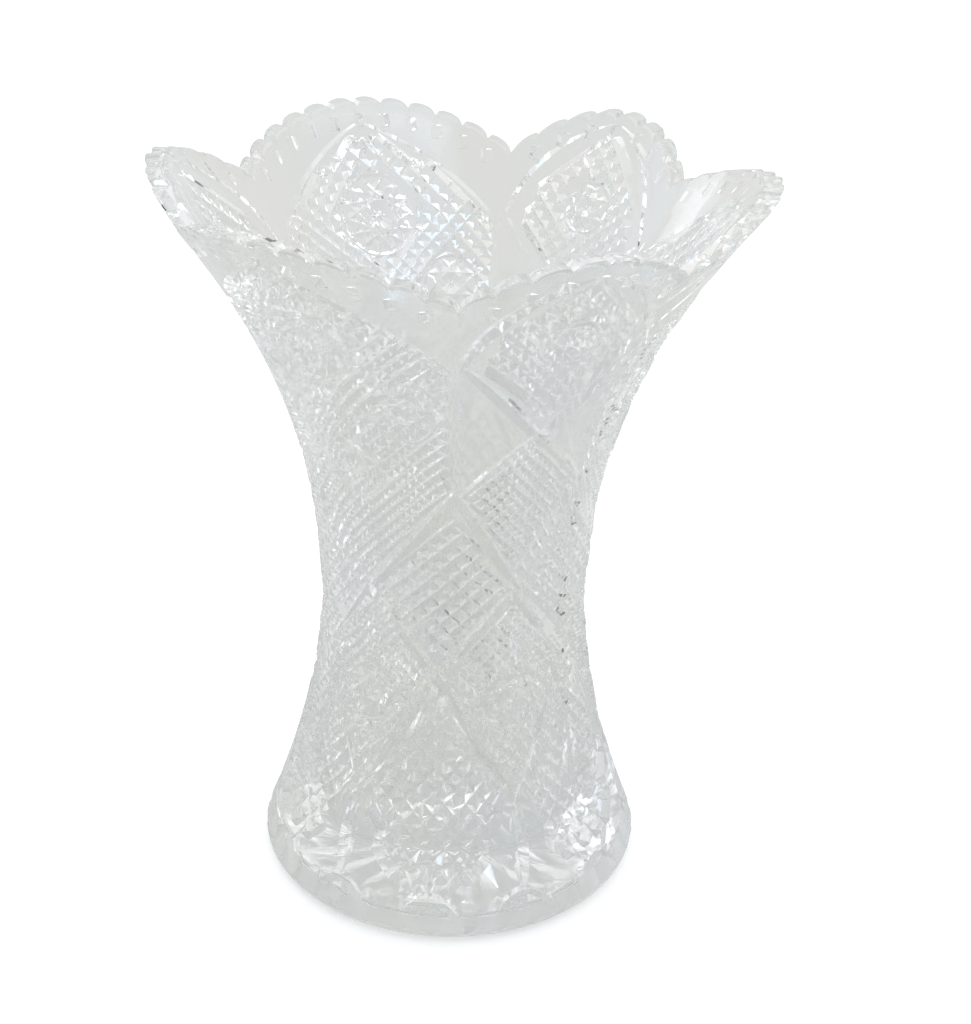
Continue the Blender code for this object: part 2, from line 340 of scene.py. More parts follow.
# %% Where the wall is, and which way it faces
SLOPE_STEP = 0.0005


def wall_frame(angle, length):
    """Point on the wall and the direction outward, for arrays of angles and of lengths up the
    wall: the radial direction less the slope of the outline times straight up."""
    z = height_at(length)
    slope = (outer_radius(z + SLOPE_STEP) - outer_radius(z - SLOPE_STEP)) / (2 * SLOPE_STEP)
    radial = np.stack([np.cos(angle), np.sin(angle), np.zeros_like(angle)], -1)
    up = np.zeros_like(radial)
    up[..., 2] = 1
    point = radial * outer_radius(z)[..., None] + up * z[..., None]
    outward = radial - up * slope[..., None]
    return point, outward / np.linalg.norm(outward, axis=-1, keepdims=True)


level_out = wall_frame(np.zeros(1), length_at(WAIST_HEIGHT))[1][0]
print("at the waist the wall faces", level_out.round(2))

# %% A bar along a path on the wall
OVERSHOOT = 0.0006
RISE_SHARE = 0.35
SHALLOW = -0.0002


def bar_faces(count, sections, closed):
    """Three strips of faces along each bar, and a cap at both ends of an open one."""
    start = (np.arange(count) * sections * 3)[:, None, None]
    i = np.arange(sections if closed else sections - 1)[None, :, None]
    j = np.arange(3)[None, None, :]
    beside = (j + 1) % 3
    onward = start + (i + 1) % sections * 3
    here = start + i * 3
    corners = [here + j, onward + j, onward + beside, here + beside]
    faces = np.stack(corners, -1).reshape(-1, 4).tolist()
    if not closed:
        first = start[:, 0, 0]
        end = first + (sections - 1) * 3
        faces += np.stack([first, first + 1, first + 2], -1).tolist()
        faces += np.stack([end, end + 2, end + 1], -1).tolist()
    return faces


def bars(angle, length, depth, half_angle, closed=False):
    """One bar for each row of the arrays. At every point of its path a triangle stands across
    it, with one corner sunk by depth and the other two above the glass, so that its width at the
    surface is twice the depth times the tangent of the half angle."""
    point, outward = wall_frame(angle, length)
    ahead = (np.roll(point, -1, 1) - np.roll(point, 1, 1)) if closed else np.gradient(point, axis=1)
    ahead /= np.linalg.norm(ahead, axis=-1, keepdims=True)
    side = np.cross(ahead, outward)
    depth = np.broadcast_to(depth, angle.shape)[..., None]
    rise = OVERSHOOT + RISE_SHARE * np.maximum(depth, 0)
    reach = (depth + rise) * math.tan(half_angle)
    crest = point + outward * rise
    corners = np.stack([point - outward * depth, crest + side * reach, crest - side * reach], 2)
    return corners.reshape(-1, 3), bar_faces(*angle.shape, closed)


print("a bar of 8 sections has", len(triangles(bar_faces(1, 8, False))), "triangles")


# %% One pass of the wheel
def grind(shapes, name):
    """Takes one pass of bars, given as (points, faces) pairs, out of the skin."""
    started = time.time()
    points, faces, base = [], [], 0
    for p, f in shapes:
        points.append(p)
        faces += [[base + v for v in face] for face in f]
        base += len(p)
    mesh = bpy.data.meshes.new(name)
    mesh.from_pydata(np.concatenate(points).tolist(), [], triangles(faces))
    wheel = bpy.data.objects.new(name, mesh)
    bpy.context.scene.collection.objects.link(wheel)
    boolean = skin.modifiers.new(name, "BOOLEAN")
    boolean.operation = "DIFFERENCE"
    boolean.solver = "MANIFOLD"
    boolean.object = wheel
    before = len(skin.data.polygons)
    graph = bpy.context.evaluated_depsgraph_get()
    cut = bpy.data.meshes.new_from_object(skin.evaluated_get(graph))
    skin.modifiers.clear()
    old = skin.data
    skin.data = cut
    bpy.data.meshes.remove(old)
    bpy.data.objects.remove(wheel)
    print(f"{name}: {before} -> {len(cut.polygons)} faces in {time.time() - started:.2f} s")


# %% [markdown]
# ## Laying out the pattern
# A cutter first marks the blank with ink lines that climb at the same slant everywhere. On a
# map whose height is the wall's length divided by its radius, lines of equal slant stay
# straight, and a panel keeps its shape from the narrow waist to the wide rim. So panels are
# drawn on that map, as an angle across and a climb up.

# %% The map of the wall
CLIMB = np.concatenate([[0], np.cumsum(steps / (0.5 * (radii[1:] + radii[:-1])))])
WIDE_MIDDLES = FRONT_V - WIDE_ANGLE / 2 + PAIR_ANGLE * np.arange(PAIRS)
NARROW_MIDDLES = FRONT_V + NARROW_ANGLE / 2 + PAIR_ANGLE * np.arange(PAIRS)
EVERY_MIDDLE = np.concatenate([WIDE_MIDDLES, NARROW_MIDDLES])


def climb_at(z):
    """Height to climb: the wall's length so far, each bit divided by the radius there."""
    return np.interp(z, heights, CLIMB)


def length_of_climb(climb):
    """The way back, from climb to length up the wall."""
    return np.interp(climb, CLIMB, WALL_LENGTH)


def on_map(*corners):
    """Corners given as degrees from the panel's middle and millimetres of height."""
    return np.array([(math.radians(a), float(climb_at(z / 1000))) for a, z in corners])


print("the map is", round(float(CLIMB[-1]), 2), "high and", round(math.tau, 2), "round")

# %% The panels
shield = on_map((0, 286), (7, 281), (16, 272), (25, 263), (33.5, 253), (34.5, 196), (0, 149),
                (-34.5, 196), (-33.5, 253), (-25, 263), (-16, 272), (-7, 281))
upper_kite = on_map((0, 290), (8, 279), (15, 267), (18, 255), (0, 226), (-18, 255),
                    (-15, 267), (-8, 279))
lower_kite = on_map((0, 214), (21, 194), (0, 155), (-21, 194))
waist_left = on_map((-24, 188), (-2, 150), (-29, 115), (-58, 147))
waist_right = -waist_left * [1, -1]
low_diamond = on_map((0, 144), (27, 112), (0, 62), (-27, 112))
foot_diamond = on_map((30, 105), (56, 60), (46, 24), (14, 24), (4, 60))
print("the shield has", len(shield), "corners")


# %% The places of the stars
def star_at(angle, z, radius):
    """A star's place as map angle and climb, and its radius on the map, from degrees and mm."""
    height = z / 1000
    scale = 1000 * float(outer_radius(height))
    return (math.radians(angle), float(climb_at(height)), radius / scale)


def placed(stars, middles):
    """Each star repeated at every one of the middles."""
    return [(star[0] + m, star[1], star[2]) for star in stars for m in middles]


shield_stars = [star_at(0, 255, 17.5), star_at(21, 228, 12), star_at(-21, 228, 12),
                star_at(0, 200, 13)]
kite_stars = [star_at(0, 262, 11)]
low_stars = [star_at(0, 98, 12)]
big_stars = placed(shield_stars[:1], WIDE_MIDDLES)
small_stars = placed(shield_stars[1:], WIDE_MIDDLES) + placed(kite_stars, NARROW_MIDDLES)
small_stars += placed(low_stars, EVERY_MIDDLE)
print(len(big_stars), "big stars and", len(small_stars), "small ones")

# %% [markdown]
# ## Fields of small diamonds
# Two families of parallel grooves, crossing, leave rows of four-sided points. The grooves are
# a little wider than their spacing, so none of the blown surface is left between them, except
# at the waist, where narrow grooves leave small flat squares. A cutter's hand is never quite
# even, so every line is moved and deepened by a small amount: that is what makes neighbouring
# points catch the light at different moments.

# %% Ruling a panel
PARALLEL = 1e-9
FINE_PITCH = 0.062
FIELD_SLANT = math.radians(45)


def ruled(panel, slant, pitch):
    """Parallel lines across a convex panel: for each, where it meets the outline's sides."""
    along = np.array([math.cos(slant), math.sin(slant)])
    across = np.array([-along[1], along[0]])
    ends = np.roll(panel, -1, 0)
    offset_a, offset_b = panel @ across, ends @ across
    first_line = math.ceil(offset_a.min() / pitch + 0.5)
    last_line = math.floor(offset_a.max() / pitch - 0.5)
    number = np.arange(first_line, last_line + 1)
    offsets = number * pitch
    gap = offset_b - offset_a
    gap = np.where(np.abs(gap) < PARALLEL, PARALLEL, gap)
    share = (offsets[:, None] - offset_a) / gap
    place = panel @ along + share * ((ends - panel) @ along)
    inside = (share >= 0) & (share <= 1)
    first = np.where(inside, place, np.inf).min(1)
    last = np.where(inside, place, -np.inf).max(1)
    start = offsets[:, None] * across + first[:, None] * along
    end = offsets[:, None] * across + last[:, None] * along
    keep = last - first > pitch
    return np.concatenate([start, end], 1)[keep], (number % 2)[keep]


print("a fine shield takes", len(ruled(shield, FIELD_SLANT, FINE_PITCH)[0]), "lines each way")

# %% Stopping the lines at the stars
SHORTEST_LINE = 0.03


def kept_clear(lines, parity, circles):
    """Cuts the lines off where they would enter a circle, given as angle, climb and radius:
    half the chord is the root of the radius squared less the miss squared."""
    for angle, climb, radius in circles:
        start, end = lines[:, :2], lines[:, 2:]
        size = np.linalg.norm(end - start, axis=1)
        unit = (end - start) / size[:, None]
        to_centre = np.array([angle, climb]) - start
        near = (to_centre * unit).sum(1)
        miss = np.abs(to_centre[:, 0] * unit[:, 1] - to_centre[:, 1] * unit[:, 0])
        half = np.sqrt(np.clip(radius ** 2 - miss ** 2, 0, None))
        entry = np.where(half > 0, np.clip(near - half, 0, size), size)
        leave = np.where(half > 0, np.clip(near + half, 0, size), size)
        before = np.concatenate([start, start + unit * entry[:, None]], 1)
        after = np.concatenate([start + unit * leave[:, None], end], 1)
        lines, parity = np.concatenate([before, after]), np.concatenate([parity, parity])
        keep = np.linalg.norm(lines[:, 2:] - lines[:, :2], axis=1) > SHORTEST_LINE
        lines, parity = lines[keep], parity[keep]
    return lines, parity


pieces = kept_clear(*ruled(shield, FIELD_SLANT, FINE_PITCH), shield_stars)[0]
print("stars part them into", len(pieces), "pieces")

# %% A bar for each line
FIELD_HALF_ANGLE = math.radians(52)
UNEVEN_PLACE = 0.07
UNEVEN_DEPTH = 0.10
RUN_OUT_PITCHES = 0.5
RUN_OUT_LEAST, RUN_OUT_MOST = 0.02, 0.3
FIELD_COVER = 1.2
FIELD_SECTIONS = 7
hand = np.random.default_rng(seed=7)


def field_bars(lines, pitch, cover, sections):
    """Bars as wide as cover times the spacing, which come up out of the glass over a short
    run-out at both ends. The hand moves each end of a line and sets the depth of each line."""
    lines = lines + hand.uniform(-UNEVEN_PLACE, UNEVEN_PLACE, lines.shape) * pitch
    press = 1 + hand.uniform(-UNEVEN_DEPTH, UNEVEN_DEPTH, (len(lines), 1))
    size = np.linalg.norm(lines[:, 2:] - lines[:, :2], axis=1)[:, None]
    run_out = np.clip(RUN_OUT_PITCHES * pitch / size, RUN_OUT_LEAST, RUN_OUT_MOST)
    inner = run_out + (1 - 2 * run_out) * np.linspace(0, 1, sections - 2)
    share = np.concatenate([np.zeros_like(size), inner, np.ones_like(size)], 1)
    angle = lines[:, 0:1] + (lines[:, 2:3] - lines[:, 0:1]) * share
    length = length_of_climb(lines[:, 1:2] + (lines[:, 3:4] - lines[:, 1:2]) * share)
    width = cover * pitch * outer_radius(height_at(length))
    depth = press * 0.5 * width / math.tan(FIELD_HALF_ANGLE)
    depth[:, [0, -1]] = SHALLOW
    return bars(angle, length, depth, FIELD_HALF_ANGLE)


def grind_field(name, panels, slant, pitch, cover=FIELD_COVER, sections=FIELD_SECTIONS):
    """Rules every panel at one slant, and grinds the even lines and then the odd ones."""
    for odd, word in ((0, "even"), (1, "odd")):
        shapes = []
        for panel, middles, circles in panels:
            lines, parity = kept_clear(*ruled(panel, slant, pitch), circles)
            lines = lines[parity == odd]
            for middle in middles:
                shapes.append(field_bars(lines + [middle, 0, middle, 0], pitch, cover, sections))
        grind(shapes, f"{name}_{word}")


print("the hand strays by", UNEVEN_PLACE, "of a pitch and", UNEVEN_DEPTH, "of a depth")

# %% Grind the fields
FOOT_SLANT = math.radians(48)
LOW_PITCH = 0.075
FOOT_PITCH = 0.098
WAIST_PITCH = 0.105
WAIST_COVER = 0.55
WAIST_SECTIONS = 5
fine_panels = [(shield, WIDE_MIDDLES, shield_stars), (upper_kite, NARROW_MIDDLES, kite_stars),
               (lower_kite, NARROW_MIDDLES, [])]
low_panels = [(low_diamond, EVERY_MIDDLE, low_stars)]
foot_panels = [(foot_diamond, EVERY_MIDDLE, [])]
waist_panels = [(waist_left, NARROW_MIDDLES, []), (waist_right, NARROW_MIDDLES, [])]
for sign in (1, -1):
    grind_field("fine", fine_panels, sign * FIELD_SLANT, FINE_PITCH)
    grind_field("low", low_panels, sign * FIELD_SLANT, LOW_PITCH)
    grind_field("foot", foot_panels, sign * FOOT_SLANT, FOOT_PITCH)
    grind_field("waist", waist_panels, sign * FIELD_SLANT, WAIST_PITCH, WAIST_COVER, WAIST_SECTIONS)

# %% [markdown]
# ## Hobstars
# A hobstar is a round star of many points about a plain button. Each cut is a chord of the
# star's circle that just passes the button, deep in the middle and running out at both ends.
# Turning the chord round the circle draws the points. The chords cross each other, so each is
# a pass of its own, shared by every star on the vase. A fine round groove frames the star.

# %% A chord and a ring of a star
STAR_HALF_ANGLE = math.radians(55)
CHORD_POINTS = np.array([-1, -0.75, -0.35, 0, 0.35, 0.75, 1])[None]
CHORD_POWER = 1.6
RING_SECTIONS = 28


def star_chord(star, turn, button, depth):
    """A straight pass at this turn, offset from the centre by the button's share of the radius.
    Its depth is the full one times one minus the distance from its middle to a power."""
    angle, climb, radius = star
    across = np.array([-math.sin(turn), math.cos(turn)]) * radius * button
    along = np.array([math.cos(turn), math.sin(turn)]) * radius * math.sqrt(1 - button ** 2)
    deep = depth * (1 - np.abs(CHORD_POINTS) ** CHORD_POWER)
    deep[:, [0, -1]] = SHALLOW
    length = length_of_climb(climb + across[1] + along[1] * CHORD_POINTS)
    return bars(angle + across[0] + along[0] * CHORD_POINTS, length, deep, STAR_HALF_ANGLE)


def ring(star, share, depth, half_angle):
    """A closed groove round a star, at a share of its radius."""
    angle, climb, radius = star
    turn = np.arange(RING_SECTIONS)[None] * math.tau / RING_SECTIONS
    length = length_of_climb(climb + radius * share * np.sin(turn))
    return bars(angle + radius * share * np.cos(turn), length, depth, half_angle, closed=True)


print("a chord has", len(star_chord(big_stars[0], 0, 0.4, 0.003)[0]), "points")

# %% Grind the hobstars
BIG_POINTS, BIG_BUTTON, BIG_DEPTH = 14, 0.36, 0.0030
SMALL_POINTS, SMALL_BUTTON, SMALL_DEPTH = 8, 0.38, 0.0026
FRAME_DEPTH = 0.0011
FRAME_HALF_ANGLE = math.radians(50)
for k in range(BIG_POINTS):
    turn = k * math.tau / BIG_POINTS
    chords = [star_chord(star, turn, BIG_BUTTON, BIG_DEPTH) for star in big_stars]
    if k < SMALL_POINTS:
        turn = k * math.tau / SMALL_POINTS
        chords += [star_chord(star, turn, SMALL_BUTTON, SMALL_DEPTH) for star in small_stars]
    grind(chords, f"star_chord_{k}")
frames = [ring(star, 1.0, FRAME_DEPTH, FRAME_HALF_ANGLE) for star in big_stars + small_stars]
grind(frames, "star_frames")

# %% [markdown]
# ## Rosettes on the buttons
# A button carries a small star of its own: short rays that all start at its middle. One wheel
# touch each would be many passes, so a rosette is one closed cutter, a disc whose lower side
# zigzags between deep and shallow lines.

# %% A zigzag disc
DISC_RINGS = np.array([0.12, 0.45, 0.8, 1.0])
CLEAR_OF_GLASS = -0.0003
CAP_HEIGHT = -0.004
CREST_SHARE = 0.12
CENTRE_SHARE = 0.4


def rosette(place, rays, depth):
    """A closed disc on polar lines: place(x, y, depth) sets a point of the unit disc into the
    glass. Every second line is deep, by one minus the share of the radius squared; the lines
    between stay near the surface; all come out of the glass at the edge."""
    count, rows = 2 * rays, len(DISC_RINGS)
    turn = np.arange(count) * math.tau / count
    valley = (np.arange(count) % 2 == 0)[:, None]
    crest = depth * CREST_SHARE * (1 - DISC_RINGS) + CLEAR_OF_GLASS * DISC_RINGS
    deep = np.where(valley, depth * (1 - DISC_RINGS ** 2), crest)
    deep[:, -1] = CLEAR_OF_GLASS
    low = place(np.cos(turn)[:, None] * DISC_RINGS, np.sin(turn)[:, None] * DISC_RINGS, deep)
    poles = place(np.zeros(2), np.zeros(2), np.array([depth * CENTRE_SHARE, CAP_HEIGHT]))
    points = np.concatenate([low.reshape(-1, 3), poles])
    i, j = np.meshgrid(np.arange(count), np.arange(rows - 1), indexing="ij")
    here, beside = i * rows + j, (i + 1) % count * rows + j
    faces = np.stack([here, beside, beside + 1, here + 1], -1).reshape(-1, 4).tolist()
    line = np.arange(count) * rows
    after, middle = np.roll(line, -1), np.full(count, len(points) - 2)
    faces += np.stack([middle, after, line], -1).tolist()
    faces += np.stack([middle + 1, line + rows - 1, after + rows - 1], -1).tolist()
    return points, faces


def on_star(star, share):
    """Sets a unit disc on the wall, at a share of this star's radius."""
    angle, climb, radius = star

    def place(x, y, depth):
        length = length_of_climb(climb + radius * share * y)
        point, outward = wall_frame(angle + radius * share * x, length)
        return point - outward * depth[..., None]

    return place


disc = rosette(on_star(big_stars[0], 1.0), 8, 0.001)
print("a disc of 8 rays has", len(triangles(disc[1])), "triangles")

# %% Grind the rosettes
BUTTON_RAYS, BUTTON_DEPTH, BUTTON_SHARE = 8, 0.0013, 0.30
CORNER_RAYS, CORNER_DEPTH = 6, 0.0018
on_buttons = [rosette(on_star(star, BUTTON_SHARE), BUTTON_RAYS, BUTTON_DEPTH)
              for star in big_stars + small_stars]
grind(on_buttons, "button_rosettes")
shield_corners = [star_at(13, 272, 4.5), star_at(-13, 272, 4.5), star_at(29, 246, 4.5),
                  star_at(-29, 246, 4.5)]
kite_corners = [star_at(11, 259, 4), star_at(-11, 259, 4), star_at(0, 243, 4), star_at(0, 279, 4)]
corners = placed(shield_corners, WIDE_MIDDLES) + placed(kite_corners, NARROW_MIDDLES)
in_corners = [rosette(on_star(star, 1.0), CORNER_RAYS, CORNER_DEPTH) for star in corners]
grind(in_corners, "corner_rosettes")

# %% [markdown]
# ## The long mitres
# Last come the widest grooves, which outline the panels and cross at the nodes of the pattern.
# Each is a leaf: a smooth curve on the map, narrow at its ends and wide in between. A Bezier
# curve, drawn by two to four corners, gives the path, and a sine gives the width, because a
# wheel that is pressed and lifted cuts deepest in between. Two leaves of one name cross, the
# right one and its mirror image, so each is a pass of its own.

# %% A leaf
MITRE_HALF_ANGLE = math.radians(61)
LEAF_SECTIONS = 14


def leaf(corners, middles, width, fullness=0.5, lean=0.5):
    """A Bezier curve through the map, as wide as the sine of the share of its length to a power;
    lean moves the widest place from the middle of the leaf towards one end."""
    control = on_map(*corners)
    share = np.linspace(0, 1, LEAF_SECTIONS)
    order = len(control) - 1
    weights = [math.comb(order, k) * share ** k * (1 - share) ** (order - k)
               for k in range(order + 1)]
    path = np.stack(weights, -1) @ control
    bulge = np.sin(math.pi * share ** (math.log(0.5) / math.log(lean))) ** fullness
    depth = 0.5 * width / 1000 / math.tan(MITRE_HALF_ANGLE) * bulge
    depth[[0, -1]] = CLEAR_OF_GLASS
    angle = np.asarray(middles)[:, None] + path[:, 0]
    length = np.broadcast_to(length_of_climb(path[:, 1]), angle.shape)
    return bars(angle, length, depth, MITRE_HALF_ANGLE)


print("a leaf has", len(leaf([(0, 100), (0, 120)], [0], 5)[0]), "points")

# %% Grind the leaves, on the right and mirrored on the left
# name, where it is repeated, corners in degrees and mm of height, width in mm, fullness, lean
leaves = [
    ("shield_top", WIDE_MIDDLES, [(-2, 291), (18, 275), (36, 250)], 4.2, 0.5, 0.5),
    ("kite_top", NARROW_MIDDLES, [(-1, 294), (17, 283), (24, 251)], 5.6, 0.6, 0.62),
    ("kite_low", NARROW_MIDDLES, [(24, 256), (-4, 214)], 6.0, 0.5, 0.5),
    ("plain_low", NARROW_MIDDLES, [(24.5, 190), (-4, 225)], 7.0, 0.5, 0.5),
    ("v_line", WIDE_MIDDLES, [(35.5, 259), (35.5, 188)], 5.2, 0.45, 0.5),
    ("shield_low", WIDE_MIDDLES, [(38, 199), (20, 168), (-4, 142)], 9.4, 0.5, 0.4),
    ("waist_narrow", NARROW_MIDDLES, [(25.5, 198), (-4, 147)], 7.6, 0.5, 0.5),
    ("waist_low", EVERY_MIDDLE, [(-3, 152), (32, 106)], 9.0, 0.5, 0.6),
    ("low_leaf", EVERY_MIDDLE, [(31.5, 117), (22, 86), (-1, 55)], 11.0, 0.6, 0.35),
    ("foot_leaf", EVERY_MIDDLE, [(1, 66), (14, 44), (27, 15)], 9.5, 0.6, 0.5),
]
for name, middles, corners, width, fullness, lean in leaves:
    for side, word in ((1, "right"), (-1, "left")):
        path = [(side * a, z) for a, z in corners]
        grind([leaf(path, middles, width, fullness, lean)], f"{name}_{word}")

# %% Blades and arches on the foot
BLADE_WIDTH, BLADE_FULLNESS, ARCH_WIDTH = 8.5, 0.6, 6.5
BETWEEN_MIDDLES = EVERY_MIDDLE + math.radians(30)
foot_line, low_line = [(0, 57), (0, 18)], [(30, 92), (30, 52)]
grind([leaf(foot_line, EVERY_MIDDLE, BLADE_WIDTH, BLADE_FULLNESS)], "foot_blade")
grind([leaf(low_line, EVERY_MIDDLE, BLADE_WIDTH, BLADE_FULLNESS)], "low_blade")
arch = [(-11.5, 2.5), (-8, 23), (8, 23), (11.5, 2.5)]
arch_middles = np.concatenate([EVERY_MIDDLE, BETWEEN_MIDDLES])
grind([leaf(arch, arch_middles, ARCH_WIDTH)], "foot_arches")
print(len(arch_middles), "arches round the foot")

# %% [markdown]
# ## Flutes round the hem
# A broad wheel touched against the edge of the foot leaves a shallow wide flute. A row of them
# carries the pattern down to the table, so no plain band is left above it.

# %% Grind the hem
FLUTES = 36
FLUTE_DEPTH = 0.0019
FLUTE_FULLNESS = 0.6
FLUTE_HALF_ANGLE = math.radians(73)
FLUTE_LOW, FLUTE_HIGH = 0.0018, 0.0190
FLUTE_SECTIONS = 9
share = np.linspace(0, 1, FLUTE_SECTIONS)
flute_length = length_at(FLUTE_LOW + (FLUTE_HIGH - FLUTE_LOW) * share)
flute_angle = np.broadcast_to(around(FLUTES)[:, None] + math.pi / FLUTES, (FLUTES, len(share)))
flute_length = np.broadcast_to(flute_length, flute_angle.shape)
flute_depth = FLUTE_DEPTH * np.abs(np.sin(math.pi * share)) ** FLUTE_FULLNESS + SHALLOW
grind([bars(flute_angle, flute_length, flute_depth, FLUTE_HALF_ANGLE)], "hem_flutes")

# %% [markdown]
# ## Notches below the rim
# A short upright touch of the wheel under every nick makes the row of small dark dashes that
# runs along the edge. None are cut where the scallops meet.

# %% Grind the notches
NOTCH_BELOW_EDGE = 0.0125
NOTCH_HALF_LENGTH = 0.0030
NOTCH_DEPTH = 0.0016
NOTCH_HALF_ANGLE = math.radians(58)
CLEAR_OF_V = 0.8
nick_angles = around(round(math.tau / TOOTH_ANGLE))
nick_angles = nick_angles[edge_drop(nick_angles) < CLEAR_OF_V * SCALLOP_DEPTH]
middle = length_at(HEIGHT - edge_drop(nick_angles)) - NOTCH_BELOW_EDGE
notch_length = middle[:, None] + NOTCH_HALF_LENGTH * np.array([-1, 0, 1])
notch_angle = np.broadcast_to(nick_angles[:, None], notch_length.shape)
grind([bars(notch_angle, notch_length, NOTCH_DEPTH, NOTCH_HALF_ANGLE)], "rim_notches")

# %% [markdown]
# ## The star underfoot
# Nearly every cut vase has a star of many rays ground under its foot, inside the ring that it
# stands on. From above it shows through the thick floor. The zigzag disc makes it in one pass.
# There it faces down, so its faces are turned round.

# %% Grind the star
FOOT_STAR_RADIUS = 0.058
FOOT_STAR_RAYS = 24
FOOT_STAR_DEPTH = 0.0030


def under_foot(x, y, depth):
    """Sets a unit disc on the underside, inside the rest ring."""
    return np.stack([FOOT_STAR_RADIUS * x, FOOT_STAR_RADIUS * y, STAR_RECESS + depth], -1)


points, faces = rosette(under_foot, FOOT_STAR_RAYS, FOOT_STAR_DEPTH)
grind([(points, [face[::-1] for face in faces])], "foot_star")
count = sum(len(face.vertices) - 2 for face in skin.data.polygons)
print("the skin has", len(skin.data.polygons), "faces,", count, "triangles")

# %% [markdown]
# ## How deep each point was cut
# Blown glass and ground glass don't shine the same. The material has to know which is which, so
# the depth below the blown wall is stored on the points as an attribute, which the shader reads.

# %% Store the cut depth
FULL_DEPTH = 0.0020
DEEPEST_CUT = 0.006
points = np.empty(len(skin.data.vertices) * 3)
skin.data.vertices.foreach_get("co", points)
points = points.reshape(-1, 3)
below = outer_radius(points[:, 2]) - np.hypot(points[:, 0], points[:, 1])
cut = np.where(below < DEEPEST_CUT, np.clip(below / FULL_DEPTH, 0, 1), 0)
layer = skin.data.attributes.new("cut_depth", "FLOAT", "POINT")
layer.data.foreach_set("value", cut.astype(np.float32))
print("cut points:", int((cut > 0).sum()), "of", len(cut))

# %% Smooth walls, sharp cuts
CREASE = math.radians(16)
skin.data.shade_smooth()
skin.data.set_sharp_from_angle(angle=CREASE)
print("smooth across less than", round(math.degrees(CREASE)), "degrees")

# %% [markdown]
# ## Polished crystal
# Lead crystal bends light more than window glass, so every facet shows another bit of the room.
# It is not colourless: iron and manganese leave a trace of straw and of blue, in cords that the
# gather left. The blown walls, inside and out, are a little wavy and hazy. The cuts were
# polished in acid: brighter, with a fine ripple from the wheel. The ring that the vase stands
# on is scuffed. One Principled glass takes all of this from its nodes.

# %% The material's helpers
crystal = bpy.data.materials.new("cut_crystal")
crystal.use_nodes = True
nodes, links = crystal.node_tree.nodes, crystal.node_tree.links
glass = nodes["Principled BSDF"]
glass.inputs["IOR"].default_value = 1.54
glass.inputs["Transmission Weight"].default_value = 1.0
place = nodes.new("ShaderNodeTexCoord")


def noise(scale, detail):
    """Soft patches on Object coordinates, about one over scale metres across."""
    node = nodes.new("ShaderNodeTexNoise")
    node.inputs["Scale"].default_value = scale
    node.inputs["Detail"].default_value = detail
    links.new(place.outputs["Object"], node.inputs["Vector"])
    return node.outputs["Fac"]


def spread(value, low, high, to_low, to_high):
    """Moves a range of values to another range, and clamps it there."""
    node = nodes.new("ShaderNodeMapRange")
    names = ("From Min", "From Max", "To Min", "To Max")
    for name, number in zip(names, (low, high, to_low, to_high)):
        node.inputs[name].default_value = number
    links.new(value, node.inputs["Value"])
    return node.outputs["Result"]


def work(operation, first, second):
    """One sum or product of two values."""
    node = nodes.new("ShaderNodeMath")
    node.operation = operation
    links.new(first, node.inputs[0])
    links.new(second, node.inputs[1])
    return node.outputs["Value"]


print("refraction", round(glass.inputs["IOR"].default_value, 2))

# %% Colour: straw and blue cords
STRAW = (0.961, 0.958, 0.934, 1)
ICE = (0.940, 0.958, 0.966, 1)
CORD_SCALE, CORD_START, CORD_END = 14, 0.35, 0.65
tint = nodes.new("ShaderNodeMix")
tint.data_type = "RGBA"
tint.inputs["A"].default_value = STRAW
tint.inputs["B"].default_value = ICE
cords = spread(noise(CORD_SCALE, 2), CORD_START, CORD_END, 0, 1)
links.new(cords, tint.inputs["Factor"])
links.new(tint.outputs["Result"], glass.inputs["Base Color"])
print("straw", STRAW[:3], "ice", ICE[:3])

# %% Polish: hazy walls, bright cuts, a scuffed rest ring
BLOWN_HAZE, CUT_HAZE, SMEAR, SCUFF = 0.075, 0.02, 0.03, 0.30
SMEAR_SCALE, SMEAR_START, SMEAR_END = 55, 0.4, 0.75
CUT_START, CUT_FULL = 0.02, 0.4
SCUFF_FULL, SCUFF_GONE = 0.0002, 0.0009
cut_depth = nodes.new("ShaderNodeAttribute")
cut_depth.attribute_name = "cut_depth"
polish = spread(cut_depth.outputs["Fac"], CUT_START, CUT_FULL, BLOWN_HAZE, CUT_HAZE)
smears = spread(noise(SMEAR_SCALE, 3), SMEAR_START, SMEAR_END, 0, SMEAR)
split = nodes.new("ShaderNodeSeparateXYZ")
links.new(place.outputs["Object"], split.inputs["Vector"])
scuffs = spread(split.outputs["Z"], SCUFF_FULL, SCUFF_GONE, SCUFF, 0)
links.new(work("ADD", work("ADD", polish, smears), scuffs), glass.inputs["Roughness"])
print("haze from", CUT_HAZE, "in the cuts to", BLOWN_HAZE, "on the walls")

# %% Relief: slow waves of the blown wall, and ripples from the wheel
WAVE_HEIGHT, WAVE_SCALE = 0.00016, 75
RIPPLE_HEIGHT, RIPPLE_SCALE = 0.000012, 900
RIPPLE_LEAST, RIPPLE_FULL = 0.2, 0.3


def relief(height, distance, under=None):
    """A bump of this many metres, laid over another one."""
    node = nodes.new("ShaderNodeBump")
    node.inputs["Strength"].default_value = 1.0
    node.inputs["Distance"].default_value = distance
    links.new(height, node.inputs["Height"])
    if under:
        links.new(under, node.inputs["Normal"])
    return node.outputs["Normal"]


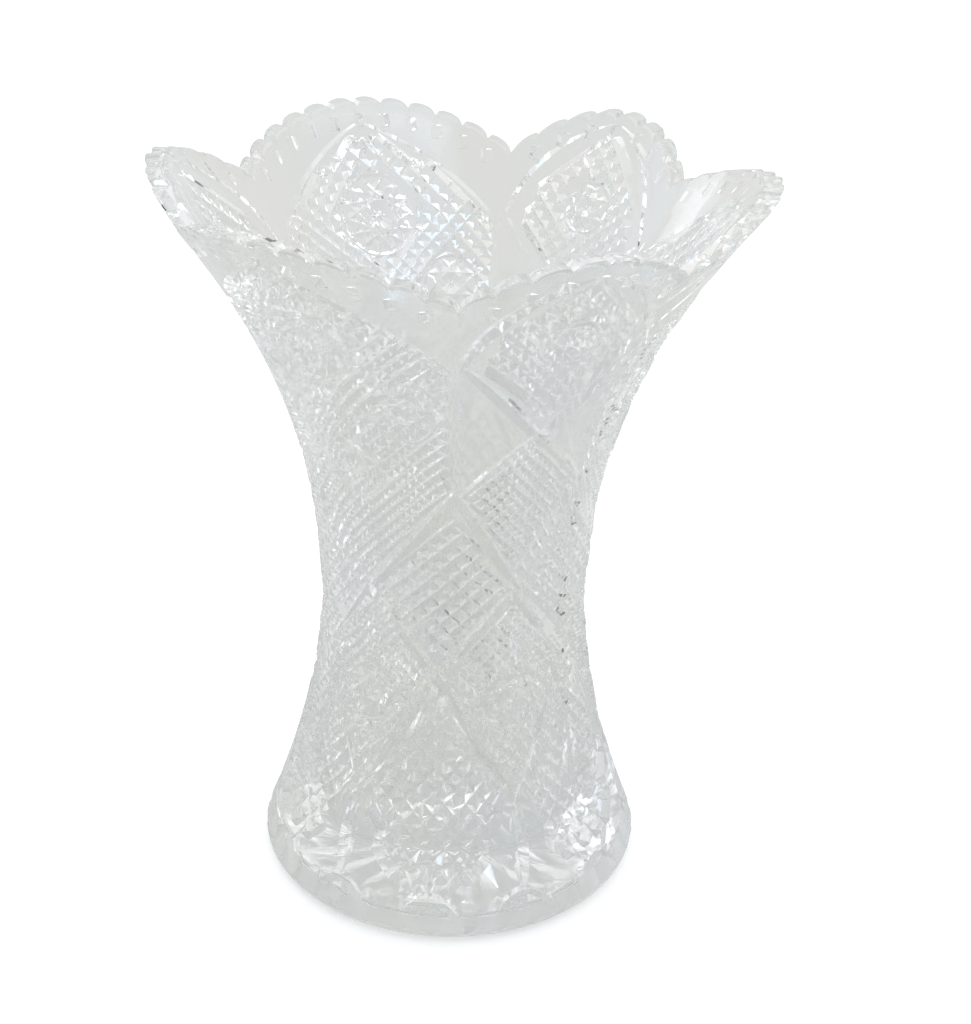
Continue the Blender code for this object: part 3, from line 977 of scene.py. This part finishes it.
waves = relief(noise(WAVE_SCALE, 1), WAVE_HEIGHT)
ground = spread(cut_depth.outputs["Fac"], 0, RIPPLE_FULL, RIPPLE_LEAST, 1)
ripples = relief(work("MULTIPLY", noise(RIPPLE_SCALE, 1), ground), RIPPLE_HEIGHT, waves)
links.new(ripples, glass.inputs["Normal"])
wave_size, ripple_size = round(1e6 * WAVE_HEIGHT), round(1e6 * RIPPLE_HEIGHT)
print("waves of", wave_size, "and ripples of", ripple_size, "thousandths of a mm at most")

# %% Hand the skin to the frame
skin.data.materials.clear()
skin.data.materials.append(crystal)
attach(skin, "root")
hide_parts("foot", "waist", "flare", "rim")
print("the skin stands for foot, waist, flare and rim")

# %% [markdown]
# ## The table
# A pale table fills the view. Seen straight on it is plain and takes the vase's soft shadow.
# What the glass bends into view is the same table, glowing evenly, with a painted shadow that
# darkens it near the vase, where a real table lies in the vase's shade. The two looks are mixed
# by the kind of ray, so that the surface seen directly can be bright without washing out the glass.

# %% The table's mesh, just under the foot
TABLE_HALF = 6.0
TABLE_GAP = 0.0002
square = np.array([(-1, -1, 0), (1, -1, 0), (1, 1, 0), (-1, 1, 0)])
corners = square * TABLE_HALF - [0, 0, TABLE_GAP]
table_mesh = bpy.data.meshes.new("studio_floor")
table_mesh.from_pydata(corners.tolist(), [], [(0, 1, 2, 3)])
table = bpy.data.objects.new("studio_floor", table_mesh)
bpy.context.scene.collection.objects.link(table)
print("table", 2 * TABLE_HALF, "m wide")

# %% The table's finish, with a painted shadow near the vase
WHITE = (1, 1, 1, 1)
PAINT, PAINT_GLOW = (0.80, 0.80, 0.80, 1), 0.42
# Seen through the glass the table glows, with a painted shadow: darker near the vase, paler far
# away.
PAINTED_SHADOW_NEAR_VASE, FAR_AWAY = (0.60, 0.61, 0.61, 1), (0.75, 0.755, 0.745, 1)
SHADE_START, SHADE_END = 0.06, 0.55
pale = bpy.data.materials.new("pale_floor")
pale.use_nodes = True
nodes, links = pale.node_tree.nodes, pale.node_tree.links
paint = nodes["Principled BSDF"]
paint.inputs["Base Color"].default_value = PAINT
paint.inputs["Roughness"].default_value = 0.9
paint.inputs["Specular IOR Level"].default_value = 0.0
paint.inputs["Emission Color"].default_value = WHITE
paint.inputs["Emission Strength"].default_value = PAINT_GLOW
spot = nodes.new("ShaderNodeTexCoord")
away = nodes.new("ShaderNodeVectorMath")
away.operation = "LENGTH"
links.new(spot.outputs["Object"], away.inputs[0])
# The painted shadow's mask: 0 near the vase, rising to 1 far away.
painted_shadow_fade = nodes.new("ShaderNodeMapRange")
painted_shadow_fade.interpolation_type = "SMOOTHSTEP"
painted_shadow_fade.inputs["From Min"].default_value = SHADE_START
painted_shadow_fade.inputs["From Max"].default_value = SHADE_END
links.new(away.outputs["Value"], painted_shadow_fade.inputs["Value"])
shade = nodes.new("ShaderNodeMix")
shade.data_type = "RGBA"
shade.inputs["A"].default_value = PAINTED_SHADOW_NEAR_VASE
shade.inputs["B"].default_value = FAR_AWAY
links.new(painted_shadow_fade.outputs["Result"], shade.inputs["Factor"])
# This emission carries the painted shadow into what the glass shows.
through_glass = nodes.new("ShaderNodeEmission")
links.new(shade.outputs["Result"], through_glass.inputs["Color"])
path = nodes.new("ShaderNodeLightPath")
seen = nodes.new("ShaderNodeMixShader")
links.new(path.outputs["Is Camera Ray"], seen.inputs["Fac"])
links.new(through_glass.outputs["Emission"], seen.inputs[1])
links.new(paint.outputs["BSDF"], seen.inputs[2])
links.new(seen.outputs["Shader"], nodes["Material Output"].inputs["Surface"])
table_mesh.materials.append(pale)
print("pale table, darker within", round(1000 * SHADE_END), "mm of the vase")

# %% [markdown]
# ## The room
# Glass has no looks of its own: it shows the room. An even white room leaves it blank, so the
# walls are a ramp from the floor to a bright ceiling, darkest just under eye level, with faint
# patches of colour and a few openings: three windows that light the facets, and two dark
# doorways that draw their edges. The helpers of the glass work here too, once nodes and links
# stand for the world's own.

# %% The walls as a ramp of heights
WARMTH = 0.995
world = bpy.data.worlds.new("studio")
bpy.context.scene.world = world
world.use_nodes = True
nodes, links = world.node_tree.nodes, world.node_tree.links
background = nodes["Background"]
place = nodes.new("ShaderNodeTexCoord")
split = nodes.new("ShaderNodeSeparateXYZ")
links.new(place.outputs["Generated"], split.inputs["Vector"])
rise = nodes.new("ShaderNodeValToRGB")
low_stop, high_stop = rise.color_ramp.elements
low_stop.position, low_stop.color = 0.0, (0.76, 0.76, 0.75, 1)
high_stop.position, high_stop.color = 1.0, (0.86, 0.86, 0.86, 1)
for position, value in ((0.46, 0.75), (0.56, 0.81), (0.72, 0.88)):
    rise.color_ramp.elements.new(position).color = (value, value, value * WARMTH, 1)
links.new(spread(split.outputs["Z"], -1, 1, 0, 1), rise.inputs["Fac"])
print("the ramp has", len(rise.color_ramp.elements), "stops")


# %% Depth and tint over the walls
def mix(blend, factor, under, over):
    """Two colours blended; the factor and the upper colour are numbers or outputs."""
    node = nodes.new("ShaderNodeMix")
    node.data_type = "RGBA"
    node.blend_type = blend
    links.new(under, node.inputs["A"])
    for value, name in ((factor, "Factor"), (over, "B")):
        if isinstance(value, bpy.types.NodeSocket):
            links.new(value, node.inputs[name])
        else:
            node.inputs[name].default_value = value
    return node.outputs["Result"]


FRONT_WALL, BACK_WALL = 0.80, 1.08
PATCH_SCALE, PATCH_STRENGTH = 3.2, 0.28
nearness = spread(split.outputs["Y"], -1, 1, FRONT_WALL, BACK_WALL)
room = mix("MULTIPLY", 1, rise.outputs["Color"], nearness)
patches = nodes.new("ShaderNodeTexNoise")
patches.inputs["Scale"].default_value = PATCH_SCALE
patches.inputs["Detail"].default_value = 1.0
links.new(place.outputs["Generated"], patches.inputs["Vector"])
room = mix("OVERLAY", PATCH_STRENGTH, room, patches.outputs["Color"])
print("the wall behind is", round(BACK_WALL / FRONT_WALL, 2), "times as bright as the one in front")


# %% Windows and doorways
def opening(under, direction, size, softness, colour):
    """Lays a round patch of another brightness over the walls. It faces one direction, is so
    many degrees from its middle to its edge, and fades over so many more."""
    toward = nodes.new("ShaderNodeVectorMath")
    toward.operation = "DOT_PRODUCT"
    toward.inputs[1].default_value = Vector(direction).normalized()
    links.new(place.outputs["Generated"], toward.inputs[0])
    outside, inside = (math.cos(math.radians(a)) for a in (size + softness, size))
    share = spread(toward.outputs["Value"], outside, inside, 0, 1)
    return mix("MIX", share, under, (*colour, 1))


# direction, degrees from middle to edge, degrees of fading, colour
openings = [
    ((0.30, -0.62, 0.72), 14, 4, (0.98, 1.10, 1.28)),
    ((-0.80, 0.35, 0.50), 12, 3, (1.00, 1.15, 1.36)),
    ((0.95, 0.10, 0.22), 8, 3, (1.20, 1.22, 1.20)),
    ((-0.45, -0.80, 0.30), 9, 2, (0.05, 0.05, 0.06)),
    ((0.70, 0.65, 0.12), 7, 2, (0.10, 0.10, 0.11)),
]
for direction, size, softness, colour in openings:
    room = opening(room, direction, size, softness, colour)
path = nodes.new("ShaderNodeLightPath")
seen_room = mix("MIX", path.outputs["Is Camera Ray"], room, WHITE)
links.new(seen_room, background.inputs["Color"])
print(len(openings), "openings")

# %% [markdown]
# ## Soft boxes
# Two broad lamps light the table and put soft white glints on the upper facets. They are large
# and not much brighter than the walls: a small strong lamp would burn hard specks into the cuts.


# %% Hang the lamps
def soft_box(name, place, aim, width, depth, power, colour):
    """A rectangular lamp at a place, turned so that it shines at its aim."""
    light = bpy.data.lights.new(name, "AREA")
    light.shape = "RECTANGLE"
    light.size, light.size_y = width, depth
    light.energy = power
    light.color = colour
    lamp = bpy.data.objects.new(name, light)
    bpy.context.scene.collection.objects.link(lamp)
    lamp.location = place
    lamp.rotation_mode = "QUATERNION"
    lamp.rotation_quaternion = (Vector(aim) - Vector(place)).to_track_quat("-Z", "Y")
    print(name, round(power / (math.pi * width * depth), 2), "W per square metre and steradian")


soft_box("overhead", place=(0.2, 0.2, 2.2), aim=(0, 0, 0.1), width=2.4, depth=2.0, power=11.5,
         colour=(1, 1, 1))
soft_box("left_window", place=(-1.3, 1.5, 1.0), aim=(0, 0, 0.15), width=0.6, depth=0.9, power=2.4,
         colour=(0.86, 0.93, 1.0))

# %% [markdown]
# ## The camera
# It stands close, 0.6 m in front and 0.46 m up, and looks down 26.6 degrees, so the mouth shows
# its far scallops and the foot looks small. Its three directions are worked out from the yaw,
# the pitch and a small roll, and written straight into its matrix.

# %% Set up the camera
SENSOR = 36
FOCAL_SHARE = 1.626953125
YAW, PITCH, ROLL = math.radians(1.16), math.radians(26.59), math.radians(1.58)
STAND = Vector((0.0, -0.6108, 0.4620))
lens = bpy.data.cameras.new("camera")
lens.sensor_width = SENSOR
lens.lens = SENSOR * FOCAL_SHARE
lens.clip_start = 0.01
camera = bpy.data.objects.new("camera", lens)
bpy.context.scene.collection.objects.link(camera)
ahead = math.cos(PITCH)
forward = Vector((math.sin(YAW) * ahead, math.cos(YAW) * ahead, -math.sin(PITCH)))
level = Vector((math.cos(YAW), -math.sin(YAW), 0))
upward = level.cross(forward)
right = level * math.cos(ROLL) + upward * math.sin(ROLL)
over = upward * math.cos(ROLL) - level * math.sin(ROLL)
turned = Matrix((right, over, -forward)).transposed().to_4x4()
camera.matrix_world = Matrix.Translation(STAND) @ turned
bpy.context.scene.camera = camera
print("lens", round(lens.lens, 1), "mm")

# %% [markdown]
# ## Enough bounces for cut glass
# A ray may cross a dozen facets and be thrown back inside many more times before it leaves. With
# few bounces it is given up, and the glass goes black in the middle. The plain Standard view
# keeps a white table white.

# %% Light paths and view
cycles = bpy.context.scene.cycles
cycles.transmission_bounces = 32
cycles.glossy_bounces = 32
cycles.max_bounces = 40
bpy.context.scene.view_settings.view_transform = "Standard"
print("up to", cycles.max_bounces, "bounces")
